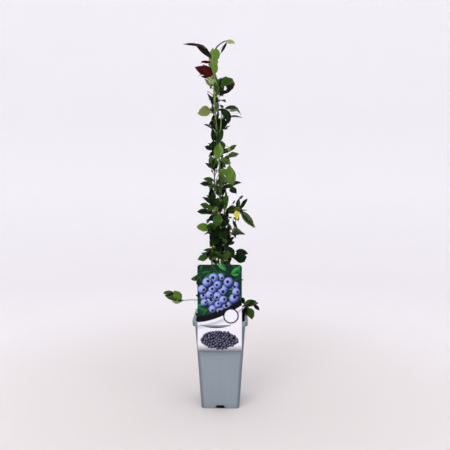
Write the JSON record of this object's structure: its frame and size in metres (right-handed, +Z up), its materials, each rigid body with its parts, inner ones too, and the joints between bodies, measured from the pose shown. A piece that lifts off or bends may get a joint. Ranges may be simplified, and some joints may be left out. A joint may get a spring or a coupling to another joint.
{
  "type": "blueberry bush in a pot",
  "caption": "Young upright blueberry bush in a deep square nursery pot, with a picture label hooked over the rim.",
  "frame": {"origin": "centre of the pot's flat underside", "axes": "+Z up the plant, -Y towards the front where the label hangs, +X to the right seen from the front"},
  "size_m": [0.2332, 0.1623, 0.8745],
  "materials": {
    "pot_plastic": "satin moulded polypropylene, blue-grey",
    "soil": "dark crumbly potting soil",
    "label_card": "printed glossy plastic card",
    "green_bark": "young green bark",
    "leaf": "living leaves, satin",
    "young_red_leaf": "young dark red leaves, satin"
  },
  "bodies": {
    "root": {"bough_right": "green_bark", "bough_upper": "green_bark", "label": "label_card", "pot": "pot_plastic", "soil": "soil", "spray_back_tip": "leaf", "spray_big_right": "leaf", "spray_centre_front": "leaf", "spray_cluster_front": "leaf", "spray_cluster_rear": "leaf", "spray_cluster_side": "leaf", "spray_crown_back": "leaf", "spray_crown_curl": "leaf", "spray_crown_pale": "leaf", "spray_crown_right": "leaf", "spray_fork_middle": "leaf", "spray_fork_rear": "leaf", "spray_fork_right": "leaf", "spray_fork_tip": "leaf", "spray_gap_right": "leaf", "spray_hanging_pale": "leaf", "spray_left_inner": "leaf", "spray_left_tip": "leaf", "spray_low_back": "leaf", "spray_low_front": "leaf", "spray_low_left": "leaf", "spray_low_right": "leaf", "spray_low_side": "leaf", "spray_low_waist_back": "leaf", "spray_middle_front": "leaf", "spray_outer_right": "leaf", "spray_red_young": "young_red_leaf", "spray_right_top": "leaf", "spray_round_left": "leaf", "spray_side_left": "leaf", "spray_skirt_back": "leaf", "spray_skirt_front": "leaf", "spray_skirt_left": "leaf", "spray_skirt_right": "leaf", "spray_small_left": "leaf", "spray_top": "leaf", "spray_upper_front": "leaf", "spray_upper_left": "leaf", "spray_waist_back": "leaf", "spray_waist_front": "leaf", "spray_waist_left": "leaf", "spray_waist_right": "leaf", "spray_waist_upright": "leaf", "stem_back": "green_bark", "stem_left": "green_bark", "stem_main": "green_bark", "stem_right": "green_bark"}
  },
  "joints": []
}
